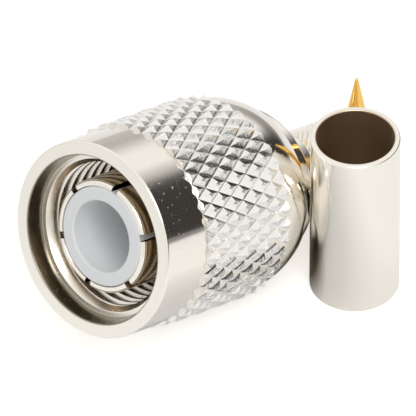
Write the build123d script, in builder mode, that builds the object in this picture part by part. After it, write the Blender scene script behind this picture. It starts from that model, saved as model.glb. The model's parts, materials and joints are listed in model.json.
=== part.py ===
from build123d import *
import os
from math import asin, cos, degrees, radians, sin, sqrt

# TNC crimp plug for RG58 cable: the plug itself, lying on its coupling nut, with its loose
# crimp ferrule standing beside it and its loose contact pin standing on end behind the ferrule.
# The plug's axis lies in the XZ plane: its mating face looks to -X and up, its cable end to +X.
# "depth" is the distance along the plug's axis, measured backwards from the nut's front face.

# Coupling nut, outside
nut_collar_diameter = 14.0
nut_rim_round = 0.15
nut_collar_length = 4.05
nut_collar_bevel = 0.12
knurl_diameter = 14.6
knurl_depth = 0.36
knurl_length = 8.35
knurl_count = 40
knurl_rows = 8
knurl_top_share = 0.24
nut_dome_start_diameter = 13.9
nut_dome_radius = 6.4
nut_dome_length = 3.05

# Coupling nut, inside: counterbore, lead-in, 7/16-28 thread, relief and running bore
mouth_diameter = 12.0
mouth_length = 1.30
mouth_back_diameter = 11.60
mouth_bevel = 0.10
lead_in_diameter = 10.90
lead_in_length = 0.45
thread_minor_diameter = 10.26
thread_length = 5.5
relief_diameter = 11.9
relief_length = 1.1
relief_slope = 0.3
running_clearance = 0.06

# Plug body
body_diameter = 9.60
body_front_depth = 8.40
hub_diameter = 10.7
hub_gap = 0.15
hub_length = 1.45
hub_bevel = 0.25
collet_seat_wall = 0.30
collet_seat_length = 1.6

# Snap ring that holds the nut on the body, set back from the front of the body
ring_setback = 2.2
ring_width = 0.80
ring_thickness = 0.95
ring_gap = 1.3
ring_side_clearance = 0.10
ring_groove_room = 0.15
ring_body_groove_diameter = 8.70

# Spring collet with six fingers
collet_front_depth = 0.90
collet_diameter = 8.10
collet_bore_diameter = 7.20
collet_slot_count = 6
collet_slot_width = 0.50
collet_slot_length = 6.0
collet_slot_turn = 2.5
collet_lip_bevel = 0.15

# Sealing gasket round the foot of the collet
gasket_thickness = 0.75
gasket_outer_diameter = 9.70
gasket_clearance = 0.05
gasket_edge_round = 0.12

# White insulator
insulator_diameter = 7.00
insulator_front_depth = 0.90
insulator_mouth_diameter = 5.10
insulator_mouth_length = 6.2
insulator_back_depth = 13.0
insulator_edge_round = 0.15
pin_hole_length = 1.8
pin_hole_clearance = 0.04

# Crimp stem pressed into the back of the body
stem_head_diameter = 7.60
stem_diameter = 5.10
stem_bore_diameter = 3.00
stem_length = 10.20
stem_end_bevel = 0.25
stem_neck_diameter = 5.90
stem_neck_length = 3.00
stem_neck_bevel = 0.15
stem_end_length = 0.80
stem_knurl_depth = 0.10
stem_knurl_count = 22
stem_knurl_rows = 12

# Crimp ferrule
ferrule_diameter = 6.25
ferrule_bore_diameter = 5.42
ferrule_length = 13.65
ferrule_edge_round = 0.12

# Contact pin
pin_diameter = 1.37
pin_tip_diameter = 0.24
pin_taper_length = 3.15
pin_length = 13.8
pin_barrel_diameter = 2.0
pin_barrel_length = 4.6
pin_collar_diameter = 2.3
pin_collar_length = 0.5
pin_wire_bore_diameter = 1.05
pin_wire_bore_depth = 3.6
pin_inspection_diameter = 0.55
pin_inspection_height = 3.1
pin_barrel_bevel = 0.15

# How far a cutting shape runs past the face that it opens
cut_overrun = 1.0

# How the three loose items lie: places on the floor, measured from the point below the centre
# of the nut's front face, backwards along the plug and sideways to the ferrule's side
plug_tilt = 18.0
ferrule_back = 17.88
ferrule_aside = 7.88
pin_back = 22.11
pin_aside = 3.92

os.makedirs("parts", exist_ok=True)

# Places along the plug's axis that follow from the sizes above
knurl_start_depth = nut_collar_length
knurl_end_depth = knurl_start_depth + knurl_length
nut_length = knurl_end_depth + nut_dome_length
lead_in_depth = mouth_length + lead_in_length
thread_end_depth = lead_in_depth + thread_length
relief_end_depth = thread_end_depth + relief_length
running_bore_diameter = body_diameter + 2 * running_clearance
collet_seat_diameter = body_diameter - 2 * collet_seat_wall
ring_depth = body_front_depth + ring_setback
hub_front_depth = nut_length + hub_gap
hub_back_depth = hub_front_depth + hub_length
stem_end_depth = hub_back_depth + stem_length

# The dome is an arc that starts along the axis, a little below the knurl's tops. The plug rests
# on two neighbouring tops at the knurl's back edge or on the dome, whichever reaches lower, and
# that sets the height of the nut's front face above the floor.
tilt = radians(plug_tilt)
dome_centre_radius = nut_dome_start_diameter / 2 - nut_dome_radius
dome_back_radius = dome_centre_radius + sqrt(nut_dome_radius**2 - nut_dome_length**2)
resting_angle = radians((1 - knurl_top_share) * 180 / knurl_count)
knurl_back_drop = knurl_diameter / 2 * cos(resting_angle) * cos(tilt) + knurl_end_depth * sin(tilt)
dome_drop = dome_centre_radius * cos(tilt) + knurl_end_depth * sin(tilt) + nut_dome_radius
nose_height = max(knurl_back_drop, dome_drop)

# The origin is on the floor, midway between the ends and the sides of the whole set.
collar_radius = nut_collar_diameter / 2
rim_centre_radius = collar_radius - nut_rim_round
front_reach = rim_centre_radius * sin(tilt) - nut_rim_round * cos(tilt) + nut_rim_round
stem_end_radius = stem_diameter / 2 - stem_knurl_depth - stem_end_bevel
back_reach = stem_end_depth * cos(tilt) + stem_end_radius * sin(tilt)
nose_x = (front_reach - back_reach) / 2
nose_y = (ferrule_aside + ferrule_diameter / 2 - knurl_diameter / 2) / 2

nose = Vector(nose_x, nose_y, nose_height)
axis_direction = Vector(cos(tilt), 0, -sin(tilt))
side_direction = Vector(sin(tilt), 0, cos(tilt))
plug_axis = Axis(nose, axis_direction)

# In this plane X is the radius and Y is the depth, so a turned piece's half section is
# drawn here and revolved about the plug's axis.
half_section = Plane(origin=nose, x_dir=side_direction, z_dir=(0, 1, 0))


def cross_plane(depth):
    """The plane square to the plug's axis at a depth, facing the cable end."""
    return Plane(origin=nose + axis_direction * depth, x_dir=side_direction, z_dir=axis_direction)


def knurl_drum(diameter, groove_depth, start_depth, length, count, rows):
    """A drum whose side is a band of pyramids between two crossing sets of slanting grooves.

    Each pyramid has its four foot corners where grooves cross, four sloping flanks and a
    small flat top. Odd rows sit half a step round from even ones. The last row's tops lie to
    both sides of the lowest line, so that the drum rests on two of them.
    """
    nose_plane = cross_plane(0)
    step = 360 / count
    row_height = length / rows
    top_radius = diameter / 2
    foot_radius = top_radius - groove_depth
    top_reach = knurl_top_share * step / 2

    def place(radius, angle, depth):
        turn = radians(angle)
        return nose_plane.from_local_coords((radius * cos(turn), radius * sin(turn), depth))

    def triangle(*corners):
        return Face(Wire.make_polygon(corners))

    flanks = []
    front_edge = []
    back_edge = []
    for row in range(rows + 1):
        middle = start_depth + row * row_height
        for column in range(count):
            angle = (column + (rows + 1 - row) % 2 / 2) * step
            left_foot = place(foot_radius, angle - step / 2, middle)
            right_foot = place(foot_radius, angle + step / 2, middle)
            left_top = place(top_radius, angle - top_reach, middle)
            right_top = place(top_radius, angle + top_reach, middle)
            if row == 0:
                front_edge += [left_foot, left_top, right_top]
            if row == rows:
                back_edge += [left_foot, left_top, right_top]
            for way in (-1, 1):
                if (row == 0 and way < 0) or (row == rows and way > 0):
                    continue
                end_foot = place(foot_radius, angle, middle + way * row_height)
                end_top = place(top_radius, angle, middle + way * knurl_top_share * row_height)
                flanks += [
                    triangle(left_foot, end_foot, end_top),
                    triangle(left_foot, end_top, left_top),
                    triangle(right_foot, end_top, end_foot),
                    triangle(right_foot, right_top, end_top),
                    triangle(left_top, end_top, right_top),
                ]
    ends = [Face(Wire.make_polygon(front_edge)), Face(Wire.make_polygon(back_edge))]
    return Solid(Shell(flanks + ends))


# Coupling nut: knurled drum, smooth collar in front, smooth dome behind
dome_arc = degrees(asin(nut_dome_length / nut_dome_radius))
ring_back_depth = ring_depth + ring_width
ring_body_radius = ring_body_groove_diameter / 2
ring_outer_radius = ring_body_radius + ring_thickness
nut_groove_radius = ring_outer_radius + ring_groove_room
with BuildPart() as coupling_nut:
    add(knurl_drum(knurl_diameter, knurl_depth, knurl_start_depth, knurl_length, knurl_count, knurl_rows))
    with BuildSketch(half_section):
        with BuildLine():
            Polyline(
                (rim_centre_radius, 0),
                (0, 0),
                (0, knurl_start_depth),
                (collar_radius - nut_collar_bevel, knurl_start_depth),
                (collar_radius, knurl_start_depth - nut_collar_bevel),
                (collar_radius, nut_rim_round),
            )
            CenterArc((rim_centre_radius, nut_rim_round), nut_rim_round, 0, -90)
        make_face()
    revolve(axis=plug_axis, clean=False)
    with BuildSketch(half_section):
        with BuildLine():
            Polyline(
                (nut_dome_start_diameter / 2, knurl_end_depth),
                (0, knurl_end_depth),
                (0, nut_length),
                (dome_back_radius, nut_length),
            )
            CenterArc((dome_centre_radius, knurl_end_depth), nut_dome_radius, 0, dome_arc)
        make_face()
    revolve(axis=plug_axis, clean=False)
    with BuildSketch(half_section):
        with BuildLine():
            Polyline(
                (0, -cut_overrun),
                (mouth_diameter / 2 + mouth_bevel + cut_overrun, -cut_overrun),
                (mouth_diameter / 2, mouth_bevel),
                (mouth_back_diameter / 2, mouth_length),
                (lead_in_diameter / 2, mouth_length),
                (thread_minor_diameter / 2, lead_in_depth),
                (thread_minor_diameter / 2, thread_end_depth),
                (relief_diameter / 2, thread_end_depth + relief_slope),
                (relief_diameter / 2, relief_end_depth - relief_slope),
                (running_bore_diameter / 2, relief_end_depth),
                (running_bore_diameter / 2, ring_depth - ring_side_clearance),
                (nut_groove_radius, ring_depth - ring_side_clearance),
                (nut_groove_radius, ring_back_depth + ring_side_clearance),
                (running_bore_diameter / 2, ring_back_depth + ring_side_clearance),
                (running_bore_diameter / 2, nut_length + cut_overrun),
                (0, nut_length + cut_overrun),
                close=True,
            )
        make_face()
    revolve(axis=plug_axis, mode=Mode.SUBTRACT, clean=False)

# Plug body: a sleeve that runs in the nut, with a hub behind the nut
body_radius = body_diameter / 2
hub_radius = hub_diameter / 2
collet_seat_radius = collet_seat_diameter / 2
insulator_radius = insulator_diameter / 2
stem_head_radius = stem_head_diameter / 2
collet_back_depth = body_front_depth + collet_seat_length
with BuildPart() as plug_body:
    with BuildSketch(half_section):
        with BuildLine():
            Polyline(
                (collet_seat_radius, body_front_depth),
                (body_radius, body_front_depth),
                (body_radius, hub_front_depth),
                (hub_radius - hub_bevel, hub_front_depth),
                (hub_radius, hub_front_depth + hub_bevel),
                (hub_radius, hub_back_depth - hub_bevel),
                (hub_radius - hub_bevel, hub_back_depth),
                (stem_head_radius, hub_back_depth),
                (stem_head_radius, insulator_back_depth),
                (insulator_radius, insulator_back_depth),
                (insulator_radius, collet_back_depth),
                (collet_seat_radius, collet_back_depth),
                close=True,
            )
        make_face()
    revolve(axis=plug_axis)
    with BuildSketch(half_section):
        with BuildLine():
            Polyline(
                (ring_body_radius, ring_depth - ring_side_clearance),
                (body_radius + cut_overrun, ring_depth - ring_side_clearance),
                (body_radius + cut_overrun, ring_back_depth + ring_side_clearance),
                (ring_body_radius, ring_back_depth + ring_side_clearance),
                close=True,
            )
        make_face()
    revolve(axis=plug_axis, mode=Mode.SUBTRACT)

# Snap ring: an open ring of flat section, half in the body's groove and half in the nut's
with BuildPart() as snap_ring:
    with BuildSketch(cross_plane(ring_depth)):
        Circle(ring_outer_radius)
        Circle(ring_body_radius, mode=Mode.SUBTRACT)
        with Locations((-ring_outer_radius, 0)):
            Rectangle(2 * ring_outer_radius, ring_gap, mode=Mode.SUBTRACT)
    extrude(amount=ring_width)

# Spring collet: a thin tube with a foot, slit from its front edge into six fingers
collet_radius = collet_diameter / 2
collet_bore_radius = collet_bore_diameter / 2
collet_slot_end_depth = collet_front_depth + collet_slot_length
with BuildPart() as spring_collet:
    with BuildSketch(half_section):
        with BuildLine():
            Polyline(
                (collet_bore_radius, collet_front_depth),
                (collet_radius - collet_lip_bevel, collet_front_depth),
                (collet_radius, collet_front_depth + collet_lip_bevel),
                (collet_radius, body_front_depth),
                (collet_seat_radius, body_front_depth),
                (collet_seat_radius, collet_back_depth),
                (insulator_radius, collet_back_depth),
                (insulator_radius, collet_slot_end_depth),
                (collet_bore_radius, collet_slot_end_depth),
                close=True,
            )
        make_face()
    revolve(axis=plug_axis)
    with BuildSketch(cross_plane(collet_front_depth - cut_overrun)):
        with PolarLocations(collet_radius, collet_slot_count, start_angle=collet_slot_turn):
            Rectangle(collet_radius, collet_slot_width)
    extrude(amount=cut_overrun + collet_slot_length, mode=Mode.SUBTRACT)

# Sealing gasket: it lies round the collet, against the front of the body
gasket_bore_radius = collet_radius + gasket_clearance
with BuildPart() as sealing_gasket:
    with BuildSketch(cross_plane(body_front_depth - gasket_thickness)):
        Circle(gasket_outer_diameter / 2)
        Circle(gasket_bore_radius, mode=Mode.SUBTRACT)
    extrude(amount=gasket_thickness)
    gasket_rims = sealing_gasket.edges().filter_by(GeomType.CIRCLE)
    fillet(gasket_rims, gasket_edge_round)

# Insulator: a plug with a wide mouth for the mating insulator and a narrow hole for the pin
mouth_back_depth = insulator_front_depth + insulator_mouth_length
pin_hole_radius = pin_diameter / 2 + pin_hole_clearance
barrel_hole_radius = pin_collar_diameter / 2 + pin_hole_clearance
barrel_hole_depth = mouth_back_depth + pin_hole_length
with BuildPart() as insulator:
    with BuildSketch(half_section):
        with BuildLine():
            Polyline(
                (insulator_mouth_diameter / 2, insulator_front_depth),
                (insulator_radius, insulator_front_depth),
                (insulator_radius, insulator_back_depth),
                (barrel_hole_radius, insulator_back_depth),
                (barrel_hole_radius, barrel_hole_depth),
                (pin_hole_radius, barrel_hole_depth),
                (pin_hole_radius, mouth_back_depth),
                (insulator_mouth_diameter / 2, mouth_back_depth),
                close=True,
            )
        make_face()
    revolve(axis=plug_axis)
    front_face = insulator.faces().filter_by(GeomType.PLANE).sort_by(plug_axis)[0]
    fillet(front_face.edges(), insulator_edge_round)

# Crimp stem: a head pressed into the body, a smooth neck and a knurled tube that goes under the
# cable braid
stem_radius = stem_diameter / 2
stem_neck_radius = stem_neck_diameter / 2
stem_knurl_start = hub_back_depth + stem_neck_length
stem_knurl_length = stem_length - stem_neck_length - stem_end_length
stem_land_radius = stem_radius - stem_knurl_depth
with BuildPart() as crimp_stem:
    add(
        knurl_drum(
            stem_diameter,
            stem_knurl_depth,
            stem_knurl_start,
            stem_knurl_length,
            stem_knurl_count,
            stem_knurl_rows,
        )
    )
    with BuildSketch(half_section):
        with BuildLine():
            Polyline(
                (0, insulator_back_depth),
                (stem_head_radius, insulator_back_depth),
                (stem_head_radius, hub_back_depth),
                (stem_neck_radius, hub_back_depth),
                (stem_neck_radius, stem_knurl_start - stem_neck_bevel),
                (stem_neck_radius - stem_neck_bevel, stem_knurl_start),
                (0, stem_knurl_start),
                close=True,
            )
        make_face()
    revolve(axis=plug_axis, clean=False)
    with BuildSketch(half_section):
        with BuildLine():
            Polyline(
                (0, stem_knurl_start + stem_knurl_length),
                (stem_land_radius, stem_knurl_start + stem_knurl_length),
                (stem_land_radius, stem_end_depth - stem_end_bevel),
                (stem_land_radius - stem_end_bevel, stem_end_depth),
                (0, stem_end_depth),
                close=True,
            )
        make_face()
    revolve(axis=plug_axis, clean=False)
    with BuildSketch(cross_plane(insulator_back_depth - cut_overrun)):
        Circle(stem_bore_diameter / 2)
    extrude(amount=stem_end_depth - insulator_back_depth + 2 * cut_overrun, mode=Mode.SUBTRACT, clean=False)

# Crimp ferrule: a plain tube standing on end
ferrule_place = Plane(origin=(nose_x + ferrule_back, nose_y - ferrule_aside, 0))
with BuildPart() as crimp_ferrule:
    with BuildSketch(ferrule_place):
        Circle(ferrule_diameter / 2)
        Circle(ferrule_bore_diameter / 2, mode=Mode.SUBTRACT)
    extrude(amount=ferrule_length)
    ferrule_rims = crimp_ferrule.edges().filter_by(GeomType.CIRCLE)
    fillet(ferrule_rims, ferrule_edge_round)

# Contact pin: it stands on its crimp barrel with its tapered tip upwards
pin_foot = Vector(nose_x + pin_back, nose_y - pin_aside, 0)
pin_section = Plane(origin=pin_foot, x_dir=(1, 0, 0), z_dir=(0, -1, 0))
barrel_radius = pin_barrel_diameter / 2
pin_collar_top = pin_barrel_length + pin_collar_length
pin_taper_start = pin_length - pin_taper_length
pin_tip_radius = pin_tip_diameter / 2
with BuildPart() as contact_pin:
    with BuildSketch(pin_section):
        with BuildLine():
            Polyline(
                (0, pin_wire_bore_depth),
                (pin_wire_bore_diameter / 2, pin_wire_bore_depth),
                (pin_wire_bore_diameter / 2, 0),
                (barrel_radius - pin_barrel_bevel, 0),
                (barrel_radius, pin_barrel_bevel),
                (barrel_radius, pin_barrel_length),
                (pin_collar_diameter / 2, pin_barrel_length),
                (pin_collar_diameter / 2, pin_collar_top),
                (pin_diameter / 2, pin_collar_top),
                (pin_diameter / 2, pin_taper_start),
                (pin_tip_radius, pin_length - pin_tip_radius),
            )
            CenterArc((0, pin_length - pin_tip_radius), pin_tip_radius, 0, 90)
            Line((0, pin_length), (0, pin_wire_bore_depth))
        make_face()
    revolve(axis=Axis(pin_foot, (0, 0, 1)))
    inspection_centre = pin_foot + Vector(0, 0, pin_inspection_height)
    with BuildSketch(Plane(origin=inspection_centre, z_dir=(1, 0, 0))):
        Circle(pin_inspection_diameter / 2)
    extrude(amount=pin_barrel_diameter, mode=Mode.SUBTRACT)

coupling_nut.part.label = "coupling_nut"
plug_body.part.label = "plug_body"
snap_ring.part.label = "snap_ring"
spring_collet.part.label = "spring_collet"
sealing_gasket.part.label = "sealing_gasket"
insulator.part.label = "insulator"
crimp_stem.part.label = "crimp_stem"
crimp_ferrule.part.label = "crimp_ferrule"
contact_pin.part.label = "contact_pin"

export_step(coupling_nut.part, "parts/coupling_nut.step")
export_step(plug_body.part, "parts/plug_body.step")
export_step(snap_ring.part, "parts/snap_ring.step")
export_step(spring_collet.part, "parts/spring_collet.step")
export_step(sealing_gasket.part, "parts/sealing_gasket.step")
export_step(insulator.part, "parts/insulator.step")
export_step(crimp_stem.part, "parts/crimp_stem.step")
export_step(crimp_ferrule.part, "parts/crimp_ferrule.step")
export_step(contact_pin.part, "parts/contact_pin.step")
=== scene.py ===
"""The looks of a TNC crimp plug: its turned pieces, knurls, coupling thread and finishes.

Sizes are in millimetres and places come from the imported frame, so that every surface lies on
the solid that it stands for. The script is laid out as an add-on: each operator makes a piece,
a group of pieces or the stage, and main() calls them all in order.
"""

import json
from types import SimpleNamespace

import bmesh
import bpy
import numpy as np
from bpy.props import FloatProperty, FloatVectorProperty, IntProperty, PointerProperty
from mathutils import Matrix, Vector


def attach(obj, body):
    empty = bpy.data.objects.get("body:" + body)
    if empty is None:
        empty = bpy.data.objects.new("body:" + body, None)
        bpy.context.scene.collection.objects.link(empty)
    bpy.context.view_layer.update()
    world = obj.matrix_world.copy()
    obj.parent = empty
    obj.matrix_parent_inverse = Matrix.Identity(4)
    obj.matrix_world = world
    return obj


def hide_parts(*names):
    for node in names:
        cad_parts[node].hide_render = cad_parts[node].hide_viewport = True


bl_info = {
    "name": "TNC crimp plug",
    "version": (1, 0, 0),
    "blender": (4, 5, 0),
    "location": "View3D > Sidebar > Plug",
    "description": "Makes the visible pieces of a coaxial crimp plug round its packed solids",
    "category": "Add Mesh",
}

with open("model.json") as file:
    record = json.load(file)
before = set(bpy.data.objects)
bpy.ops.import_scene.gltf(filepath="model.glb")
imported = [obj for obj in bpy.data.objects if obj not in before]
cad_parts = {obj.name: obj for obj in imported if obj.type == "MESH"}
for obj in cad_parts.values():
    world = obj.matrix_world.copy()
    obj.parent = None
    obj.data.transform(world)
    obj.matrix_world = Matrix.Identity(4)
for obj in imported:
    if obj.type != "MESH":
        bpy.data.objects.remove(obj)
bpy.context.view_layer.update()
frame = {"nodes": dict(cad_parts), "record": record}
MOUNTS = {mount["name"]: mount for mount in frame["record"]["mounts"]}

MM = 0.001
INCH = 25.4
FULL_TURN = 2 * np.pi

# Points round a turned piece, a rounded corner, the dome, a finger, the stem and the floor
ROUND_STEPS = 256
CORNER_STEPS = 8
DOME_STEPS = 24
FINGER_STEPS = 28
STEM_STEPS = 128
FLOOR_SIDES = 96

# Points closer than this many metres become one
MERGE_GAP = 1e-7

# A flat face's extra point lies this far past the rounding, and a sharper bend than this shows
FLAT_LEAD = 0.03
FLAT_ANGLE = np.radians(18)

# How far a piece reaches into the one that it stands on, where neither shows
OVERLAP = 0.1

# Roundings of small turned edges
SHARP_EDGE = 0.03
KEEN_EDGE = 0.04
FINE_EDGE = 0.05
EASED_EDGE = 0.06
SOFT_EDGE = 0.08
BLUNT_EDGE = 0.1

# Diamonds of one knurl pyramid, from its foot up, as (share of its foot, share of its height)
NUT_PYRAMID = ((1, 0), (0.97, 0.0), (0.22, 0.95), (0.0, 1.0))
STEM_PYRAMID = ((1, 0), (0.25, 1.0), (0.0, 1.0))
SHAKE_SEED = 7

# Noise of the finishes, as (features to the metre, detail, roughness of the noise)
PATCHES = (900, 4)
FINE_GRAIN = (14000, 3, 0.7)
SPECKS = (4200, 5, 0.7)
RIPPLE = (5000, 4, 0.6)
LONG_RIPPLE = (4000, 4, 0.6)
CUTTER_PATCHES = (1500, 4)
CUTTER_GRAIN = (12000, 3, 0.7)
BURRS = (7000, 3, 0.6)
WAX = (700, 3)
TURNING_MARKS = (9000, 3)
RUBBER_PATCHES = (3000, 4)
RUBBER_GRAIN = (16000, 2)

# The plug's axis, from the thread's mount, which lies at the start of the thread
THREAD_START = 1.75
BACK = -np.array(MOUNTS["coupling_thread"]["axis"], dtype=float)
NOSE = np.array(MOUNTS["coupling_thread"]["pos_m"]) / MM - THREAD_START * BACK
SIDE = np.cross((0.0, 1.0, 0.0), BACK)
ACROSS = np.cross(BACK, SIDE)

FERRULE_FOOT = np.array(MOUNTS["ferrule_bore"]["pos_m"]) / MM * (1, 1, 0)


# Sizes and colours that a user would change


def length_property(name, description, millimetres):
    """A length, given in millimetres and kept in metres."""
    default = millimetres * MM
    return FloatProperty(name=name, description=description, default=default, unit="LENGTH", precision=5)


def angle_property(name, description, degrees):
    """An angle, given in degrees and kept in radians."""
    return FloatProperty(name=name, description=description, default=np.radians(degrees), subtype="ANGLE")


def colour_property(name, description, default):
    """A colour: red, green and blue from 0 to 1."""
    return FloatVectorProperty(name=name, description=description, subtype="COLOR", default=default)


def in_millimetres(group):
    """The values of a property group, with its lengths in millimetres."""
    values = {}
    for name in group.__annotations__:
        value = getattr(group, name)
        if group.bl_rna.properties[name].unit == "LENGTH":
            is_vector = group.bl_rna.properties[name].is_array
            value = tuple(part / MM for part in value) if is_vector else value / MM
        values[name] = value
    return SimpleNamespace(**values)


class NutSizes(bpy.types.PropertyGroup):
    """The coupling nut, measured back from its front face."""

    collar_diameter: length_property("Collar diameter", "Smooth front collar", 14.0)
    collar_length: length_property("Collar length", "Front face to knurl", 4.05)
    collar_rounding: length_property("Collar rounding", "Front edge of the collar", 0.15)
    knurl_diameter: length_property("Knurl diameter", "Across the pyramids' tops", 14.6)
    knurl_depth: length_property("Knurl depth", "Top of a pyramid to its foot", 0.31)
    knurl_seat: length_property("Knurl seat", "Foot of the pyramids to the wall under them", 0.15)
    knurl_wander: FloatProperty(
        name="Knurl wander", description="Unevenness of the pyramids", subtype="FACTOR", default=0.05
    )
    knurl_length: length_property("Knurl length", "Length of the knurled band", 8.35)
    knurl_count: IntProperty(name="Knurl count", description="Pyramids round one row", default=40)
    knurl_rows: IntProperty(name="Knurl rows", description="Half rows along the band", default=8)
    dome_diameter: length_property("Dome diameter", "Where the dome starts", 13.9)
    dome_radius: length_property("Dome radius", "Radius of the dome's arc", 6.4)
    dome_length: length_property("Dome length", "Knurl to back face", 3.05)
    mouth_diameter: length_property("Mouth diameter", "Counterbore", 12.0)
    mouth_length: length_property("Mouth length", "Depth of the counterbore", 1.3)
    mouth_back: length_property("Mouth back", "Counterbore at its back", 11.6)
    shoulder_diameter: length_property("Shoulder", "Inner edge of the shoulder", 10.9)
    thread_pitch: length_property("Thread pitch", "28 turns to the inch", INCH / 28)
    thread_minor: length_property("Thread minor", "Across the crests", 10.26)
    thread_major: length_property("Thread major", "Across the roots", 11.11)
    thread_length: length_property("Thread length", "Threaded stretch", 5.5)
    relief_diameter: length_property("Relief diameter", "Groove behind the thread", 11.9)
    relief_length: length_property("Relief length", "Length of that groove", 1.1)
    relief_front: length_property("Relief front", "Slope at the groove's front", 0.05)
    relief_back: length_property("Relief back", "Slope at the groove's back", 0.3)
    thread_backing: length_property("Thread backing", "Roots of the thread to the wall behind them", 0.01)
    bore_diameter: length_property("Bore diameter", "Where the nut runs on the body", 9.72)


class BodySizes(bpy.types.PropertyGroup):
    """The sleeve in the nut, the hub behind it, the collet and the insulator."""

    sleeve_diameter: length_property("Sleeve diameter", "Outside of the sleeve", 9.6)
    sleeve_front: length_property("Sleeve front", "Depth of its front face", 8.4)
    hub_diameter: length_property("Hub diameter", "Outside of the hub", 10.7)
    hub_front: length_property("Hub front", "Depth of the hub's front face", 15.6)
    hub_back: length_property("Hub back", "Depth of the hub's back face", 17.05)
    hub_front_rounding: length_property("Hub front rounding", "Front edge of the hub", 0.2)
    hub_back_rounding: length_property("Hub back rounding", "Back edge of the hub", 0.22)
    stem_head_diameter: length_property("Stem head", "Head of the crimp stem", 7.6)
    insulator_diameter: length_property("Insulator diameter", "Outside", 7.12)
    insulator_back: length_property("Insulator back", "Depth of its back face", 13.0)
    mouth_diameter: length_property("Insulator mouth", "Wide front hole", 5.1)
    mouth_length: length_property("Insulator mouth depth", "Depth of that hole", 6.2)
    mouth_floor_rounding: length_property("Insulator mouth floor", "Rounding at the floor of that hole", 0.2)
    insulator_rounding: length_property("Insulator rounding", "Front edges of the insulator", 0.14)
    barrel_step: length_property("Barrel step", "Mouth's floor to the hole for the pin's barrel", 1.8)
    pin_clearance: length_property("Pin clearance", "Gap round the pin", 0.04)
    front_depth: length_property("Front depth", "Front of collet and insulator", 0.9)
    collet_diameter: length_property("Collet diameter", "Outside of the fingers", 8.1)
    collet_bore: length_property("Collet bore", "Inside of the fingers", 7.2)
    lip_rounding: length_property("Lip rounding", "Outer edge of the fingers' lips", 0.28)
    finger_root: length_property("Finger root", "Length of a finger hidden in the ring", 0.2)
    collet_foot: length_property("Collet foot", "Diameter of the pressed foot", 9.0)
    collet_back: length_property("Collet back", "Depth of the foot's back", 10.0)
    slot_count: IntProperty(name="Slot count", description="Slots between the fingers", default=6)
    slot_width: length_property("Slot width", "Gap between two fingers", 0.5)
    slot_length: length_property("Slot length", "Length of a slot", 6.0)
    slot_turn: angle_property("Slot turn", "Angle of the first slot", 2.5)


class CrimpSizes(bpy.types.PropertyGroup):
    """The crimp stem, the ferrule and the contact pin."""

    stem_diameter: length_property("Stem diameter", "Across the stem's knurl", 5.1)
    stem_bore: length_property("Stem bore", "Hole for the cable", 3.0)
    stem_end: length_property("Stem end", "Depth of the stem's end", 27.25)
    stem_neck: length_property("Stem neck", "Smooth stretch behind the hub", 3.0)
    neck_diameter: length_property("Neck diameter", "Across that stretch", 5.9)
    neck_rounding: length_property("Neck rounding", "Step down to the stem's knurl", 0.15)
    stem_land: length_property("Stem land", "Smooth stretch at the end", 0.8)
    stem_bevel: length_property("Stem bevel", "Bevel of the stem's end", 0.25)
    stem_knurl_depth: length_property("Stem knurl depth", "Depth of its fine knurl", 0.1)
    stem_knurl_wander: FloatProperty(
        name="Stem knurl wander", description="Unevenness of its pyramids", subtype="FACTOR", default=0.1
    )
    stem_knurl_count: IntProperty(name="Stem knurl count", description="Pyramids round the stem", default=34)
    stem_knurl_rows: IntProperty(name="Stem knurl rows", description="Half rows along the stem", default=24)
    ferrule_diameter: length_property("Ferrule diameter", "Outside", 6.25)
    ferrule_bore: length_property("Ferrule bore", "Inside", 5.42)
    ferrule_length: length_property("Ferrule length", "Height as it stands", 13.65)
    ferrule_rounding: length_property("Ferrule rounding", "Outer edges of its ends", 0.14)
    pin_diameter: length_property("Pin diameter", "Front part of the pin", 1.37)
    pin_collar: length_property("Pin collar", "Diameter of the collar", 2.3)


class Finishes(bpy.types.PropertyGroup):
    """Colours of the plated metals, the insulator, the gasket and the floor."""

    nickel: colour_property("Nickel", "Nickel plate", (0.90, 0.865, 0.80))
    knurl: colour_property("Knurl", "Cut knurl", (0.93, 0.915, 0.89))
    # Painted shade: a dark colour that stands in for the shade on the wall of the nut's mouth
    wall: colour_property("Wall", "Wall of the nut's mouth", (0.26, 0.23, 0.18))
    bore: colour_property("Bore", "Dull bore", (0.62, 0.50, 0.36))
    gold: colour_property("Gold", "Gold plate", (0.98, 0.60, 0.16))
    spring: colour_property("Spring", "Collet plate", (0.58, 0.44, 0.27))
    insulator: colour_property("Insulator", "White insulator", (0.62, 0.63, 0.645))
    rubber: colour_property("Rubber", "Gasket", (0.30, 0.06, 0.03))
    floor: colour_property("Floor", "Pale floor", (0.82, 0.82, 0.82))


class StageSettings(bpy.types.PropertyGroup):
    """The camera and the floor."""

    azimuth: angle_property("Azimuth", "Direction of the view", -45.7)
    elevation: angle_property("Elevation", "Height of the view", 43.0)
    lens: FloatProperty(name="Lens", description="Focal length", unit="CAMERA", default=1500.0)
    frame_width: length_property("Frame width", "Width seen at the plug", 28.9)
    target: FloatVectorProperty(
        name="Target",
        description="Point in the middle of the view",
        subtype="TRANSLATION",
        unit="LENGTH",
        default=(1.174 * MM, 3.81 * MM, 3.53 * MM),
    )
    floor_radius: length_property("Floor radius", "Radius of the floor disc", 120.0)


# Shapes


def along_plug(depth, radius, angle):
    """Point at a depth behind the nut's face: nose + depth * back + radius * (cos * side + sin * across)."""
    depth, radius, angle = np.broadcast_arrays(depth, radius, angle)
    ring = np.cos(angle)[..., None] * SIDE + np.sin(angle)[..., None] * ACROSS
    return (NOSE + depth[..., None] * BACK + radius[..., None] * ring) * MM


def standing_on(foot):
    """Place function of a piece that stands on end: foot + (radius * cos, radius * sin, height)."""

    def place(height, radius, angle):
        height, radius, angle = np.broadcast_arrays(height, radius, angle)
        offset = np.stack((radius * np.cos(angle), radius * np.sin(angle), height), axis=-1)
        return (foot + offset) * MM

    return place


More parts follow.
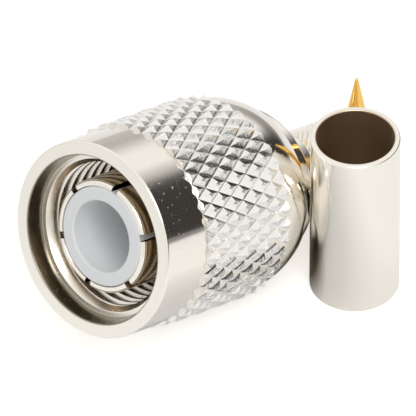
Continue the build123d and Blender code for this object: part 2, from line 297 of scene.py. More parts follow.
def outline(*corners):
    """A turned piece's outline from (depth, radius, rounding) corners.

    A corner with a rounding becomes an arc tangent to both of its sides: its centre lies on
    the corner's bisector, at rounding / sin(half the corner's angle) from the corner. A point
    a little further along each side keeps the shading of the long faces straight.
    """
    points = []
    count = len(corners)
    for number, (depth, radius, rounding) in enumerate(corners):
        corner = np.array((depth, radius), dtype=float)
        if rounding == 0:
            points.append(corner)
            continue
        before = np.array(corners[number - 1][:2]) - corner
        after = np.array(corners[(number + 1) % count][:2]) - corner
        before /= np.linalg.norm(before)
        after /= np.linalg.norm(after)
        half = np.arccos(np.clip(before @ after, -1, 1)) / 2
        middle = (before + after) / np.linalg.norm(before + after)
        centre = corner + middle * rounding / np.sin(half)
        sweep = np.pi / 2 - half
        turn = np.sign(before[0] * after[1] - before[1] * after[0])
        angles = np.linspace(-sweep, sweep, CORNER_STEPS)[:, None] * -turn
        spoke = -middle * rounding
        square_to_spoke = np.array((-spoke[1], spoke[0]))
        lead = rounding / np.tan(half) + FLAT_LEAD
        points.append(corner + before * lead)
        points.extend(centre + np.cos(angles) * spoke + np.sin(angles) * square_to_spoke)
        points.append(corner + after * lead)
    return np.array(points)


def grid_faces(rows, columns, wrap_rows, wrap_columns):
    """Quads of a grid of points, numbered row by row, closed on itself in either way."""
    row = np.arange(rows if wrap_rows else rows - 1)[:, None]
    column = np.arange(columns if wrap_columns else columns - 1)[None, :]
    next_row = (row + 1) % rows
    next_column = (column + 1) % columns
    corners = (
        row * columns + column,
        row * columns + next_column,
        next_row * columns + next_column,
        next_row * columns + column,
    )
    return np.stack(np.broadcast_arrays(*corners), axis=-1).reshape(-1, 4)


def turned(profile, place, steps=ROUND_STEPS):
    """A closed outline turned: point(i, j) = place(depth_i, radius_i, full turn * j / steps)."""
    angle = np.arange(steps) * FULL_TURN / steps
    points = place(profile[:, 0, None], profile[:, 1, None], angle[None, :])
    return points.reshape(-1, 3), grid_faces(len(profile), steps, True, True)


def joined(*surfaces):
    """Several (points, quads) surfaces as one, each kept as its own shell."""
    points, faces, first = [], [], 0
    for surface_points, surface_faces in surfaces:
        points.append(surface_points)
        faces.append(surface_faces + first)
        first += len(surface_points)
    return np.concatenate(points), np.concatenate(faces)


def capped_end(loop):
    """A flat end: the loop of points fanned from its middle, as quads with one doubled corner."""
    count = len(loop)
    points = np.concatenate((loop, loop.mean(axis=0)[None]))
    number = np.arange(count)
    centre = np.full(count, count)
    return points, np.stack((number, (number + 1) % count, centre, centre), axis=-1)


def knurl(place, diameter, depth, start, length, count, rows, inner_radius, levels, wander):
    """A closed band of pyramids between crossing grooves.

    Each pyramid is a stack of diamonds: at level (share, lift) its corners lie at share times
    half a step round and one row along, lifted to foot + lift * depth. Odd rows sit half a
    step round. A row at the band's end is cut square by holding its corners inside the band.
    Each diamond above the foot is moved by a random share, up to wander, of the half step and
    the row, and lowered by up to that share of the depth, as cut knurls vary.
    """
    shake = np.random.default_rng(SHAKE_SEED)
    step = FULL_TURN / count
    row_height = length / rows
    foot = diameter / 2 - depth
    share = np.array([level[0] for level in levels])
    lift = np.array([level[1] for level in levels])
    round_corner = np.array((-1.0, 0.0, 1.0, 0.0))
    along_corner = np.array((0.0, -1.0, 0.0, 1.0))
    row = np.arange(rows + 1)
    column = np.arange(count)
    angle = (column[None, :] + (rows + 1 - row[:, None]) % 2 / 2) * step
    middle = start + row * row_height
    moved = wander * lift[:, None]
    one_each = (rows + 1, count, 1, 1)
    round_move = moved * shake.uniform(-1, 1, one_each)
    along_move = moved * shake.uniform(-1, 1, one_each)
    sink = moved * shake.uniform(0, 1, one_each)
    angles = angle[:, :, None, None] + (share[:, None] * round_corner + round_move) * step / 2
    depths = middle[:, None, None, None] + (share[:, None] * along_corner + along_move) * row_height
    depths = np.clip(depths, start, start + length)
    radii = foot + (lift[:, None] - sink) * depth + np.zeros(angles.shape)
    points = place(depths, radii, angles).reshape(-1, 3)
    pyramid = grid_faces(len(levels), 4, False, True)
    pyramids = (rows + 1) * count
    faces = (pyramid[None] + (np.arange(pyramids) * len(levels) * 4)[:, None, None]).reshape(-1, 4)
    rim_angle = np.arange(2 * count) * step / 2
    rim_depth = np.array((start, start, start + length, start + length))
    rim_radius = np.array((foot, inner_radius, inner_radius, foot))
    rim_points = place(rim_depth[:, None], rim_radius[:, None], rim_angle[None, :]).reshape(-1, 3)
    return joined((points, faces), (rim_points, grid_faces(4, 2 * count, False, True)))


def add_piece(name, surface, finish, body, nodes):
    points, faces = surface
    mesh = bpy.data.meshes.new(name)
    mesh.from_pydata(points.tolist(), [], faces.tolist())
    shape = bmesh.new()
    shape.from_mesh(mesh)
    bmesh.ops.remove_doubles(shape, verts=shape.verts, dist=MERGE_GAP)
    bmesh.ops.dissolve_degenerate(shape, edges=shape.edges, dist=MERGE_GAP)
    bmesh.ops.recalc_face_normals(shape, faces=shape.faces)
    shape.to_mesh(mesh)
    shape.free()
    mesh.polygons.foreach_set("use_smooth", np.ones(len(mesh.polygons), dtype=bool))
    mesh.set_sharp_from_angle(angle=FLAT_ANGLE)
    mesh.materials.append(finish_named(finish))
    piece = bpy.data.objects.new(name, mesh)
    bpy.context.scene.collection.objects.link(piece)
    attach(piece, body)
    if nodes:
        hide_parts(*nodes)


# Finishes


def new_material(name):
    """A new material, its nodes, its links and its Principled shader."""
    material = bpy.data.materials.new(name)
    material.use_nodes = True
    nodes = material.node_tree.nodes
    return material, nodes, material.node_tree.links, nodes["Principled BSDF"]


def new_metal(name):
    """The same of a material that is metal all over."""
    material, nodes, links, shader = new_material(name)
    shader.inputs["Metallic"].default_value = 1.0
    return material, nodes, links, shader


def dimmed(colour, share):
    """The colour times a share, with no channel above 1."""
    return tuple(min(channel * share, 1.0) for channel in colour)


def noise(nodes, links, scale, detail, roughness=0.5):
    """Noise on the piece's own coordinates, scale in features to the metre."""
    coordinates = nodes.new("ShaderNodeTexCoord")
    texture = nodes.new("ShaderNodeTexNoise")
    texture.inputs["Scale"].default_value = scale
    texture.inputs["Detail"].default_value = detail
    texture.inputs["Roughness"].default_value = roughness
    links.new(coordinates.outputs["Object"], texture.inputs["Vector"])
    return texture.outputs["Fac"]


def ranged(nodes, links, value, low, high, from_low=0.0, from_high=1.0):
    """The value spread from its own range over low to high."""
    spread = nodes.new("ShaderNodeMapRange")
    spread.inputs["From Min"].default_value = from_low
    spread.inputs["From Max"].default_value = from_high
    spread.inputs["To Min"].default_value = low
    spread.inputs["To Max"].default_value = high
    links.new(value, spread.inputs["Value"])
    return spread.outputs["Result"]


def tinted(nodes, links, value, dark, light):
    """A colour between dark and light, by the value. Either one may come from another node."""
    mix = nodes.new("ShaderNodeMix")
    mix.data_type = "RGBA"
    for socket, shade in (("A", dark), ("B", light)):
        if isinstance(shade, tuple):
            mix.inputs[socket].default_value = (*shade, 1)
        else:
            links.new(shade, mix.inputs[socket])
    links.new(value, mix.inputs["Factor"])
    return mix.outputs["Result"]


def bumped(nodes, links, height, distance):
    """A normal from a height map, whose 0 to 1 stands for that distance in millimetres."""
    bump = nodes.new("ShaderNodeBump")
    bump.inputs["Distance"].default_value = distance * MM
    links.new(height, bump.inputs["Height"])
    return bump.outputs["Normal"]


def combined(nodes, links, operation, first, second):
    """Two values put together by a Math node's operation."""
    math = nodes.new("ShaderNodeMath")
    math.operation = operation
    links.new(first, math.inputs[0])
    links.new(second, math.inputs[1])
    return math.outputs["Value"]


def distance_from_axis(nodes, links, point, direction):
    """How far a place on the piece is from an axis: the length of (place - point) x direction."""
    coordinates = nodes.new("ShaderNodeTexCoord")
    offset = nodes.new("ShaderNodeVectorMath")
    offset.operation = "SUBTRACT"
    offset.inputs[1].default_value = Vector(point) * MM
    cross = nodes.new("ShaderNodeVectorMath")
    cross.operation = "CROSS_PRODUCT"
    cross.inputs[1].default_value = direction
    length = nodes.new("ShaderNodeVectorMath")
    length.operation = "LENGTH"
    links.new(coordinates.outputs["Object"], offset.inputs[0])
    links.new(offset.outputs["Vector"], cross.inputs[0])
    links.new(cross.outputs["Vector"], length.inputs[0])
    return length.outputs["Value"]


def beyond(nodes, links, radius, start, end):
    """0 nearer the axis than start, 1 farther than end, both in millimetres, and even between."""
    return ranged(nodes, links, radius, 0.0, 1.0, start * MM, end * MM)


def dusty_gloss(nodes, links, low, high):
    """Roughness from low to high in a fine grain, with small dull specks of dust and scratches.

    The specks lie where a coarser noise is highest.
    """
    grain = ranged(nodes, links, noise(nodes, links, *FINE_GRAIN), low, high)
    specks = ranged(nodes, links, noise(nodes, links, *SPECKS), 0.0, 0.55, 0.63, 0.69)
    return combined(nodes, links, "ADD", grain, specks)


def plated_metal(name, colour, roughness, mottle, ripple):
    """Bright plate: a slightly mottled metal with fine grain in its gloss and a faint ripple."""
    material, nodes, links, shader = new_metal(name)
    patches = noise(nodes, links, *PATCHES)
    mottled = tinted(nodes, links, patches, dimmed(colour, 1 - mottle), dimmed(colour, 1 + mottle))
    links.new(mottled, shader.inputs["Base Color"])
    gloss = dusty_gloss(nodes, links, roughness * 0.7, roughness * 1.35)
    links.new(gloss, shader.inputs["Roughness"])
    links.new(bumped(nodes, links, noise(nodes, links, *RIPPLE), ripple), shader.inputs["Normal"])
    return material


def cut_knurl(name, colour):
    """Knurled plate: bright flanks, and crests left uneven by the cutter.

    The bump is a coarse noise times a mask that rises from the flanks to the crests.
    """
    sizes = in_millimetres(bpy.context.scene.plug_nut)
    material, nodes, links, shader = new_metal(name)
    patches = noise(nodes, links, *CUTTER_PATCHES)
    links.new(tinted(nodes, links, patches, dimmed(colour, 0.90), colour), shader.inputs["Base Color"])
    grain = noise(nodes, links, *CUTTER_GRAIN)
    links.new(ranged(nodes, links, grain, 0.07, 0.15), shader.inputs["Roughness"])
    radius = distance_from_axis(nodes, links, NOSE, BACK)
    top = sizes.knurl_diameter / 2
    flank = top - sizes.knurl_depth * 0.7
    crest = ranged(nodes, links, radius, 0.12, 1.0, flank * MM, top * MM)
    burrs = combined(nodes, links, "MULTIPLY", noise(nodes, links, *BURRS), crest)
    links.new(bumped(nodes, links, burrs, 0.06), shader.inputs["Normal"])
    return material


def tube_plate(name, colour, inside):
    """Bright plate outside a standing tube, turning dull and brown in its bore."""
    sizes = in_millimetres(bpy.context.scene.plug_crimp)
    material, nodes, links, shader = new_metal(name)
    inner = sizes.ferrule_bore / 2
    wall = sizes.ferrule_diameter / 2 - inner
    radius = distance_from_axis(nodes, links, FERRULE_FOOT, (0, 0, 1))
    outside = beyond(nodes, links, radius, inner + wall * 0.1, inner + wall * 0.3)
    links.new(tinted(nodes, links, outside, inside, colour), shader.inputs["Base Color"])
    links.new(ranged(nodes, links, outside, 0.42, 0.16), shader.inputs["Roughness"])
    ripple = noise(nodes, links, *LONG_RIPPLE)
    links.new(bumped(nodes, links, ripple, 0.0008), shader.inputs["Normal"])
    return material


def nut_plate(name, colour, wall):
    """Bright plate outside the nut, painted shade on the wall of its mouth, and dull in its thread.

    The distance from the axis tells them apart: the wall lies between the mouth's back and
    front radius, and the shoulder, the thread and the bore lie nearer the axis.
    """
    sizes = in_millimetres(bpy.context.scene.plug_nut)
    material, nodes, links, shader = new_metal(name)
    wall_front = sizes.mouth_diameter / 2
    wall_back = sizes.mouth_back / 2
    radius = distance_from_axis(nodes, links, NOSE, BACK)
    outside = beyond(nodes, links, radius, wall_front + 0.02, wall_front + 0.13)
    past_shoulder = beyond(nodes, links, radius, wall_back - 0.03, wall_back)
    # Painted shade: between these radii the wall of the mouth takes the dark wall colour in place of the
    # plate, fading out over the rounded edge in front of it
    wall_painted_shade = combined(nodes, links, "SUBTRACT", past_shoulder, outside)
    plate = tinted(nodes, links, noise(nodes, links, *PATCHES), dimmed(colour, 0.97), colour)
    links.new(tinted(nodes, links, wall_painted_shade, plate, wall), shader.inputs["Base Color"])
    duller = ranged(nodes, links, outside, 0.16, 0.0)
    gloss = combined(nodes, links, "ADD", dusty_gloss(nodes, links, 0.06, 0.12), duller)
    links.new(gloss, shader.inputs["Roughness"])
    links.new(bumped(nodes, links, noise(nodes, links, *RIPPLE), 0.0006), shader.inputs["Normal"])
    return material


def finger_plate(name, tip, outside):
    """Spring plate: bright on the fingers' lips and browner on their outside."""
    sizes = in_millimetres(bpy.context.scene.plug_body)
    material, nodes, links, shader = new_metal(name)
    outer = sizes.collet_diameter / 2
    radius = distance_from_axis(nodes, links, NOSE, BACK)
    brown = beyond(nodes, links, radius, outer - 0.06, outer - 0.01)
    links.new(tinted(nodes, links, brown, tip, outside), shader.inputs["Base Color"])
    grain = noise(nodes, links, *CUTTER_GRAIN)
    links.new(ranged(nodes, links, grain, 0.10, 0.22), shader.inputs["Roughness"])
    links.new(bumped(nodes, links, noise(nodes, links, *RIPPLE), 0.0008), shader.inputs["Normal"])
    return material


def white_plastic(name, colour):
    """Smooth fluoroplastic: slightly waxy, with a soft sheen and faint turning marks."""
    material, nodes, links, shader = new_material(name)
    wax = noise(nodes, links, *WAX)
    links.new(tinted(nodes, links, wax, dimmed(colour, 0.97), colour), shader.inputs["Base Color"])
    shader.inputs["Roughness"].default_value = 0.42
    shader.inputs["Subsurface Weight"].default_value = 0.15
    shader.inputs["Subsurface Radius"].default_value = (1.0, 1.0, 1.0)
    shader.inputs["Subsurface Scale"].default_value = 0.4 * MM
    marks = noise(nodes, links, *TURNING_MARKS)
    links.new(bumped(nodes, links, marks, 0.002), shader.inputs["Normal"])
    return material


def gasket_rubber(name, colour):
    """Dull moulded rubber with a fine grain."""
    material, nodes, links, shader = new_material(name)
    patches = noise(nodes, links, *RUBBER_PATCHES)
    links.new(tinted(nodes, links, patches, dimmed(colour, 0.8), colour), shader.inputs["Base Color"])
    shader.inputs["Roughness"].default_value = 0.6
    grain = noise(nodes, links, *RUBBER_GRAIN)
    links.new(bumped(nodes, links, grain, 0.003), shader.inputs["Normal"])
    return material


def finish_named(name):
    """The finish of that name, made the first time that a piece asks for it."""
    if name in bpy.data.materials:
        return bpy.data.materials[name]
    chosen = bpy.context.scene.plug_finishes
    colours = {shade: tuple(getattr(chosen, shade)) for shade in chosen.__annotations__}
    plated = {
        "bright_nickel": {"colour": colours["nickel"], "roughness": 0.09, "mottle": 0.03, "ripple": 0.0006},
        "stem_nickel": {"colour": colours["nickel"], "roughness": 0.2, "mottle": 0.06, "ripple": 0.003},
        "gold_plate": {"colour": colours["gold"], "roughness": 0.22, "mottle": 0.05, "ripple": 0.0008},
    }
    if name in plated:
        return plated_metal(name, **plated[name])
    makers = {
        # The wall colour is painted shade for the mouth of the nut
        "nut_nickel": (nut_plate, "nickel", "wall"),
        "knurled_nickel": (cut_knurl, "knurl"),
        "ferrule_nickel": (tube_plate, "nickel", "bore"),
        "spring_plate": (finger_plate, "nickel", "spring"),
        "insulator_white": (white_plastic, "insulator"),
        "gasket_rubber": (gasket_rubber, "rubber"),
    }
    make, *shades = makers[name]
    return make(name, *(colours[shade] for shade in shades))


# Pieces


def thread_surface(sizes):
    """The nut's thread as a sheet that follows the helix.

    Along one turn the radius runs root flat, flank, crest flat, flank, so the point at
    phase p of turn t and angle a lies at depth start + (t + p + a / full turn - 1) * pitch,
    held inside the threaded stretch.
    """
    phase = np.array((0.0, 0.10, 0.14, 0.34, 0.38, 0.42, 0.58, 0.62, 0.66, 0.86, 0.90))
    height = np.array((0.0, 0.0, 0.06, 0.94, 1.0, 1.0, 1.0, 1.0, 0.94, 0.06, 0.0))
    turns = int(np.ceil(sizes.thread_length / sizes.thread_pitch)) + 1
    end = THREAD_START + sizes.thread_length
    travel = (np.arange(turns)[:, None] + phase[None, :]).ravel()
    lift = np.tile(height, turns)
    angle = np.linspace(0, FULL_TURN, ROUND_STEPS + 1)
    depth = THREAD_START + (travel[:, None] + angle[None, :] / FULL_TURN - 1) * sizes.thread_pitch
    root = sizes.thread_major / 2
    crest = sizes.thread_minor / 2
    radius = np.broadcast_to((root + (crest - root) * lift)[:, None], depth.shape)
    points = along_plug(np.clip(depth, THREAD_START, end), radius, angle[None, :])
    return points.reshape(-1, 3), grid_faces(len(travel), ROUND_STEPS + 1, False, False)


class PLUG_OT_coupling_nut(bpy.types.Operator):
    """Makes the coupling nut: collar, knurl, dome, mouth and thread"""

    bl_idname = "plug.coupling_nut"
    bl_label = "Coupling nut"

    def execute(self, context):
        sizes = in_millimetres(context.scene.plug_nut)
        collar = sizes.collar_diameter / 2
        knurl_end = sizes.collar_length + sizes.knurl_length
        back_face = knurl_end + sizes.dome_length
        under_knurl = sizes.knurl_diameter / 2 - sizes.knurl_depth - sizes.knurl_seat
        # The dome is an arc: depth knurl's end + radius * sin, height centre + radius * cos
        dome_centre = sizes.dome_diameter / 2 - sizes.dome_radius
        dome_end = np.arcsin(sizes.dome_length / sizes.dome_radius)
        dome_angle = np.linspace(0, dome_end, DOME_STEPS)
        dome_depth = knurl_end + sizes.dome_radius * np.sin(dome_angle)
        dome_height = dome_centre + sizes.dome_radius * np.cos(dome_angle)
        thread_end = THREAD_START + sizes.thread_length
        relief_end = thread_end + sizes.relief_length
        relief = sizes.relief_diameter / 2
        bore = sizes.bore_diameter / 2
        behind_thread = sizes.thread_major / 2 + sizes.thread_backing
        front = outline(
            (relief_end, bore, 0),
            (relief_end - sizes.relief_back, relief, FINE_EDGE),
            (thread_end + sizes.relief_front, relief, FINE_EDGE),
            (thread_end, behind_thread, 0),
            (THREAD_START, behind_thread, 0),
            (THREAD_START, sizes.thread_minor / 2, 0),
            (sizes.mouth_length, sizes.shoulder_diameter / 2, KEEN_EDGE),
            (sizes.mouth_length, sizes.mouth_back / 2, KEEN_EDGE),
            (0, sizes.mouth_diameter / 2, BLUNT_EDGE),
            (0, collar, sizes.collar_rounding),
            (sizes.collar_length, collar, BLUNT_EDGE),
            (sizes.collar_length, under_knurl, 0),
            (knurl_end, under_knurl, 0),
            (knurl_end, dome_height[0], 0),
        )
        dome = np.stack((dome_depth, dome_height), axis=-1)[1:-1]
        back = outline(
            (back_face, dome_height[-1], EASED_EDGE),
            (back_face, bore, SOFT_EDGE),
            (relief_end, bore, 0),
        )
        shell = turned(np.concatenate((front, dome, back[:-1])), along_plug)
        surface = joined(shell, thread_surface(sizes))
        add_piece("nut_finish", surface, "nut_nickel", "nut", ["coupling_nut"])
        band = knurl(
            along_plug,
            diameter=sizes.knurl_diameter,
            depth=sizes.knurl_depth,
            start=sizes.collar_length,
            length=sizes.knurl_length,
            count=sizes.knurl_count,
            rows=sizes.knurl_rows,
            inner_radius=under_knurl - OVERLAP,
            levels=NUT_PYRAMID,
            wander=sizes.knurl_wander,
        )
        add_piece("nut_knurl", band, "knurled_nickel", "nut", [])
        return {"FINISHED"}


class PLUG_OT_plug_body(bpy.types.Operator):
    """Makes the sleeve that runs in the nut and the hub behind it"""

    bl_idname = "plug.plug_body"
    bl_label = "Plug body"

    def execute(self, context):
        sizes = in_millimetres(context.scene.plug_body)
        sleeve = sizes.sleeve_diameter / 2
        hub = sizes.hub_diameter / 2
        profile = outline(
            (sizes.sleeve_front, sizes.collet_foot / 2, 0),
            (sizes.sleeve_front, sleeve, FINE_EDGE),
            (sizes.hub_front, sleeve, 0),
            (sizes.hub_front, hub, sizes.hub_front_rounding),
            (sizes.hub_back, hub, sizes.hub_back_rounding),
            (sizes.hub_back, sizes.stem_head_diameter / 2, SHARP_EDGE),
            (sizes.insulator_back, sizes.stem_head_diameter / 2, 0),
            (sizes.insulator_back, sizes.insulator_diameter / 2, 0),
            (sizes.collet_back, sizes.insulator_diameter / 2, 0),
            (sizes.collet_back, sizes.collet_foot / 2, 0),
        )
        surface = turned(profile, along_plug)
        add_piece("body_finish", surface, "bright_nickel", "plug", ["plug_body"])
        return {"FINISHED"}


class PLUG_OT_spring_collet(bpy.types.Operator):
    """Makes the slotted collet: six fingers on a ring"""

    bl_idname = "plug.spring_collet"
    bl_label = "Spring collet"

    def execute(self, context):
        sizes = in_millimetres(context.scene.plug_body)
        outer = sizes.collet_diameter / 2
        inner = sizes.collet_bore / 2
        slot_end = sizes.front_depth + sizes.slot_length
        finger = outline(
            (sizes.front_depth, inner, SOFT_EDGE),
            (sizes.front_depth, outer, sizes.lip_rounding),
            (slot_end + sizes.finger_root, outer, 0),
            (slot_end + sizes.finger_root, inner, 0),
        )
        # A finger fills its share of the turn, less half a slot's width on either side
        count = sizes.slot_count
        slot_half = np.arcsin(sizes.slot_width / 2 / finger[:, 1])
        first = sizes.slot_turn + np.arange(count) * FULL_TURN / count
        sweep = FULL_TURN / count - 2 * slot_half
        share = np.linspace(0, 1, FINGER_STEPS)
        angle = first[:, None, None] + slot_half[None, :, None] + sweep[None, :, None] * share
        points = along_plug(finger[None, :, 0, None], finger[None, :, 1, None], angle)
        wall = grid_faces(len(finger), FINGER_STEPS, True, False)
        fingers = [(finger_points.reshape(-1, 3), wall) for finger_points in points]
        fingers += [capped_end(finger_points[:, side]) for finger_points in points for side in (0, -1)]
        foot = outline(
            (slot_end, inner, FINE_EDGE),
            (slot_end, outer, 0),
            (sizes.sleeve_front, outer, FINE_EDGE),
            (sizes.sleeve_front, sizes.collet_foot / 2, KEEN_EDGE),
            (sizes.collet_back, sizes.collet_foot / 2, 0),
            (sizes.collet_back, inner, 0),
        )
        surface = joined(*fingers, turned(foot, along_plug))
        add_piece("collet_finish", surface, "spring_plate", "plug", ["spring_collet"])
        return {"FINISHED"}


class PLUG_OT_insulator(bpy.types.Operator):
    """Makes the white insulator with its wide mouth and its pin hole"""

    bl_idname = "plug.insulator"
    bl_label = "Insulator"

    def execute(self, context):
        sizes = in_millimetres(context.scene.plug_body)
        pin = in_millimetres(context.scene.plug_crimp)
        mouth_back = sizes.front_depth + sizes.mouth_length
        mouth = sizes.mouth_diameter / 2
        outside = sizes.insulator_diameter / 2
        pin_hole = pin.pin_diameter / 2 + sizes.pin_clearance
        barrel_hole = pin.pin_collar / 2 + sizes.pin_clearance
        barrel_depth = mouth_back + sizes.barrel_step
        profile = outline(
            (sizes.front_depth, mouth, sizes.insulator_rounding),
            (sizes.front_depth, outside, sizes.insulator_rounding),
            (sizes.insulator_back, outside, 0),
            (sizes.insulator_back, barrel_hole, 0),
            (barrel_depth, barrel_hole, 0),
            (barrel_depth, pin_hole, 0),
            (mouth_back, pin_hole, FINE_EDGE),
            (mouth_back, mouth, sizes.mouth_floor_rounding),
        )
        surface = turned(profile, along_plug)
        add_piece("insulator_finish", surface, "insulator_white", "plug", ["insulator"])
        return {"FINISHED"}


class PLUG_OT_crimp_stem(bpy.types.Operator):
    """Makes the crimp stem with its fine knurl"""

    bl_idname = "plug.crimp_stem"
    bl_label = "Crimp stem"

    def execute(self, context):
        body = in_millimetres(context.scene.plug_body)
        sizes = in_millimetres(context.scene.plug_crimp)
        head = body.stem_head_diameter / 2
        top = sizes.stem_diameter / 2
        neck = sizes.neck_diameter / 2
        land = top - sizes.stem_knurl_depth
        knurl_start = body.hub_back + sizes.stem_neck
        knurl_end = sizes.stem_end - sizes.stem_land
        bore = sizes.stem_bore / 2
        under_knurl = land - OVERLAP
        profile = outline(
            (body.insulator_back, bore, 0),
            (body.insulator_back, head, 0),
            (body.hub_back, head, KEEN_EDGE),
            (body.hub_back, neck, EASED_EDGE),
            (knurl_start, neck, sizes.neck_rounding),
            (knurl_start, under_knurl, 0),
            (knurl_end, under_knurl, 0),
            (knurl_end, land, 0),
            (sizes.stem_end - sizes.stem_bevel, land, FINE_EDGE),
            (sizes.stem_end, land - sizes.stem_bevel, FINE_EDGE),
            (sizes.stem_end, bore, BLUNT_EDGE),
        )
        band = knurl(
            along_plug,
            diameter=sizes.stem_diameter,
            depth=sizes.stem_knurl_depth,
            start=knurl_start,
            length=knurl_end - knurl_start,
            count=sizes.stem_knurl_count,
            rows=sizes.stem_knurl_rows,
            inner_radius=under_knurl - OVERLAP,
            levels=STEM_PYRAMID,
            wander=sizes.stem_knurl_wander,
        )
        surface = joined(turned(profile, along_plug, steps=STEM_STEPS), band)
        add_piece("stem_finish", surface, "stem_nickel", "plug", ["crimp_stem"])
        return {"FINISHED"}


class PLUG_OT_crimp_ferrule(bpy.types.Operator):
    """Makes the loose crimp ferrule"""

    bl_idname = "plug.crimp_ferrule"
    bl_label = "Crimp ferrule"

    def execute(self, context):
        sizes = in_millimetres(context.scene.plug_crimp)
        outer = sizes.ferrule_diameter / 2
        inner = sizes.ferrule_bore / 2
        profile = outline(
            (0, inner, BLUNT_EDGE),
            (0, outer, sizes.ferrule_rounding),
            (sizes.ferrule_length, outer, sizes.ferrule_rounding),
            (sizes.ferrule_length, inner, BLUNT_EDGE),
        )
        surface = turned(profile, standing_on(FERRULE_FOOT))
        add_piece("ferrule_finish", surface, "ferrule_nickel", "plug", ["crimp_ferrule"])
        return {"FINISHED"}


class PLUG_OT_contact_pin(bpy.types.Operator):
    """Gives the gold contact pin and the pieces inside the plug their finishes"""

    bl_idname = "plug.contact_pin"
    bl_label = "Contact pin and inner pieces"

    def execute(self, context):
        finishes = {
            "contact_pin": "gold_plate",
            "snap_ring": "spring_plate",
            "sealing_gasket": "gasket_rubber",
        }
        for node, finish in finishes.items():
            carried = frame["nodes"][node]
            carried.data.materials.clear()
            carried.data.materials.append(finish_named(finish))
        return {"FINISHED"}


# Stage

# The room, as the camera, matt surfaces and metal see it
CAMERA_WHITE = (1.0, 1.0, 1.0)
EVEN_LIGHT = (0.55, 0.55, 0.55)
CEILING = (0.99, 0.98, 0.96)
FAR_WALL = (0.28, 0.27, 0.26)
NEAR_WALL = (0.90, 0.88, 0.84)
DARK_SIDE = (0.050, 0.046, 0.042)

# The floor's own light, which metal also sees as a painted glow away from the plug, and the painted shade
# beside the plug as metal mirrors it
FLOOR_LIGHT = (1.0, 0.97, 0.91)
PAINTED_FLOOR_SHADE = (0.14, 0.11, 0.08)
FLOOR_DROP = 0.02


def studio_world(context):
    """White to the camera, even light on matt surfaces, and a studio with one dark side in metal."""
    world = bpy.data.worlds.new("studio")
    world.use_nodes = True
    context.scene.world = world
    nodes, links = world.node_tree.nodes, world.node_tree.links
    coordinates = nodes.new("ShaderNodeTexCoord")
    path = nodes.new("ShaderNodeLightPath")

    def direction_share(axis, low, high):
        """0 to 1, smoothly, as the cosine between direction and axis goes from low to high."""
        dot = nodes.new("ShaderNodeVectorMath")
        dot.operation = "DOT_PRODUCT"
        dot.inputs[1].default_value = Vector(axis).normalized()
        links.new(coordinates.outputs["Generated"], dot.inputs[0])
        spread = nodes.new("ShaderNodeMapRange")
        spread.interpolation_type = "SMOOTHSTEP"
        spread.inputs["From Min"].default_value = low
        spread.inputs["From Max"].default_value = high
        links.new(dot.outputs["Value"], spread.inputs["Value"])
        return spread.outputs["Result"]

    below_top = direction_share((0, 0, -1), -0.475, -0.445)
    above_table = direction_share((0, 0, 1), -0.06, -0.03)
    toward = direction_share((0.80, -0.58, 0.0), 0.60, 0.80)
    upper = direction_share((0, 0, 1), 0.08, 0.36)
    along_walls = direction_share((-1.0, 0.4, 0.0), -1.0, 0.2)
    dark_band = combined(nodes, links, "MULTIPLY", below_top, above_table)
    dark_part = combined(nodes, links, "MULTIPLY", dark_band, toward)
    walls = tinted(nodes, links, along_walls, FAR_WALL, NEAR_WALL)
    room = tinted(nodes, links, upper, walls, CEILING)
    in_metal = tinted(nodes, links, dark_part, room, DARK_SIDE)
    seen = tinted(nodes, links, path.outputs["Is Glossy Ray"], EVEN_LIGHT, in_metal)
    sky = tinted(nodes, links, path.outputs["Is Camera Ray"], seen, CAMERA_WHITE)
    links.new(sky, nodes["Background"].inputs["Color"])


def pale_floor(context, radius, colour):
    """A pale disc that keeps shadows, with light of its own to the camera so that it shows white.

    Metal mirrors it with a painted glow, a little brighter away from the plug, and with a painted shade in a
    round patch beside it, each told by the distance from an upright axis.
    """
    material, nodes, links, shader = new_material("pale_floor")
    shader.inputs["Roughness"].default_value = 0.9
    shader.inputs["Specular IOR Level"].default_value = 0.0
    shader.inputs["Emission Color"].default_value = (*FLOOR_LIGHT, 1)
    path = nodes.new("ShaderNodeLightPath")
    seen = ranged(nodes, links, path.outputs["Is Camera Ray"], 0.0, 0.6)
    # Painted glow: in metal only, the floor gives off more light farther from the plug
    from_plug = distance_from_axis(nodes, links, (-3.0, -3.0, 0.0), (0, 0, 1))
    painted_glow = ranged(nodes, links, from_plug, 0.0, 0.28, 6 * MM, 16 * MM)
    mirrored_painted_glow = combined(nodes, links, "MULTIPLY", path.outputs["Is Glossy Ray"], painted_glow)
    # Painted shade: in metal only, the floor turns dark in a round patch beside the plug, standing in for
    # shade
    from_painted_shade = distance_from_axis(nodes, links, (4.0, 0.5, 0.0), (0, 0, 1))
    painted_shade_patch = ranged(nodes, links, from_painted_shade, 1.0, 0.0, 3.5 * MM, 6.5 * MM)
    mirrored_painted_shade = combined(nodes, links, "MULTIPLY", path.outputs["Is Glossy Ray"], painted_shade_patch)
    links.new(tinted(nodes, links, mirrored_painted_shade, colour, PAINTED_FLOOR_SHADE), shader.inputs["Base Color"])
    links.new(combined(nodes, links, "ADD", seen, mirrored_painted_glow), shader.inputs["Emission Strength"])
    mesh = bpy.data.meshes.new("floor")
    angle = np.arange(FLOOR_SIDES) * FULL_TURN / FLOOR_SIDES
    rim = standing_on(np.zeros(3))(-FLOOR_DROP, radius, angle)
    mesh.from_pydata(rim.tolist(), [], [list(range(FLOOR_SIDES))])
    mesh.materials.append(material)
    floor = bpy.data.objects.new("floor", mesh)
    context.scene.collection.objects.link(floor)


def stand(context, thing, place, direction):
    """Puts a lamp or a camera at a place, in millimetres, and points it in a direction."""
    thing.location = place * MM
    thing.rotation_mode = "QUATERNION"
    thing.rotation_quaternion = direction.to_track_quat("-Z", "Y")
    context.scene.collection.objects.link(thing)


def soft_lamp(context, name, place, target, size, power):
    """A square soft lamp at a place, aimed at a target, in millimetres and watts."""
    data = bpy.data.lights.new(name, "AREA")
    data.shape = "SQUARE"
    data.size = size * MM
    data.energy = power
    stand(context, bpy.data.objects.new(name, data), place, target - place)


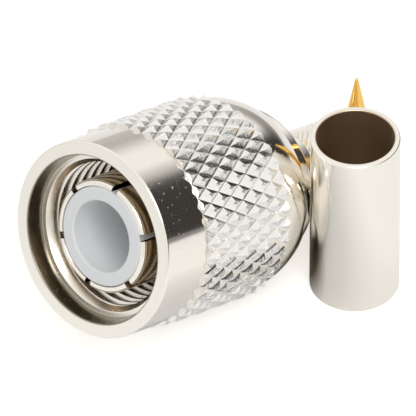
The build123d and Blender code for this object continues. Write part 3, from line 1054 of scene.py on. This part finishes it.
class PLUG_OT_stage(bpy.types.Operator):
    """Makes the floor, the lamp, the surroundings and the camera"""

    bl_idname = "plug.stage"
    bl_label = "Stage"

    def execute(self, context):
        stage = in_millimetres(context.scene.plug_stage)
        target = Vector(stage.target)
        studio_world(context)
        pale_floor(context, stage.floor_radius, tuple(context.scene.plug_finishes.floor))
        soft_lamp(context, "key_lamp", Vector((-60, -90, 160)), target, size=90, power=0.14)
        level = np.cos(stage.elevation)
        round_plug = (np.sin(stage.azimuth) * level, -np.cos(stage.azimuth) * level)
        back = Vector((*round_plug, np.sin(stage.elevation)))
        data = bpy.data.cameras.new("camera")
        data.lens = stage.lens
        data.sensor_width = 36
        data.clip_start = 0.01
        data.clip_end = 10
        camera = bpy.data.objects.new("camera", data)
        distance = stage.lens * stage.frame_width / data.sensor_width
        stand(context, camera, target + back * distance, -back)
        context.scene.camera = camera
        context.scene.view_settings.view_transform = "Standard"
        return {"FINISHED"}


class PLUG_PT_panel(bpy.types.Panel):
    """Lists the operators in the sidebar"""

    bl_idname = "PLUG_PT_panel"
    bl_label = "Plug"
    bl_space_type = "VIEW_3D"
    bl_region_type = "UI"
    bl_category = "Plug"

    def draw(self, context):
        for operator in OPERATORS:
            self.layout.operator(operator.bl_idname)


SETTINGS = {
    "plug_nut": NutSizes,
    "plug_body": BodySizes,
    "plug_crimp": CrimpSizes,
    "plug_finishes": Finishes,
    "plug_stage": StageSettings,
}
OPERATORS = (
    PLUG_OT_coupling_nut,
    PLUG_OT_plug_body,
    PLUG_OT_spring_collet,
    PLUG_OT_insulator,
    PLUG_OT_crimp_stem,
    PLUG_OT_crimp_ferrule,
    PLUG_OT_contact_pin,
    PLUG_OT_stage,
)


def register():
    """Registers the settings, the operators and the panel."""
    for name, group in SETTINGS.items():
        bpy.utils.register_class(group)
        setattr(bpy.types.Scene, name, PointerProperty(type=group))
    for operator in OPERATORS:
        bpy.utils.register_class(operator)
    bpy.utils.register_class(PLUG_PT_panel)


def unregister():
    """Takes them away again, last one first."""
    bpy.utils.unregister_class(PLUG_PT_panel)
    for operator in reversed(OPERATORS):
        bpy.utils.unregister_class(operator)
    for name, group in SETTINGS.items():
        delattr(bpy.types.Scene, name)
        bpy.utils.unregister_class(group)


def main():
    """Makes every piece and the stage."""
    register()
    bpy.ops.plug.coupling_nut()
    bpy.ops.plug.plug_body()
    bpy.ops.plug.spring_collet()
    bpy.ops.plug.insulator()
    bpy.ops.plug.crimp_stem()
    bpy.ops.plug.crimp_ferrule()
    bpy.ops.plug.contact_pin()
    bpy.ops.plug.stage()


if __name__ == "__main__":
    main()
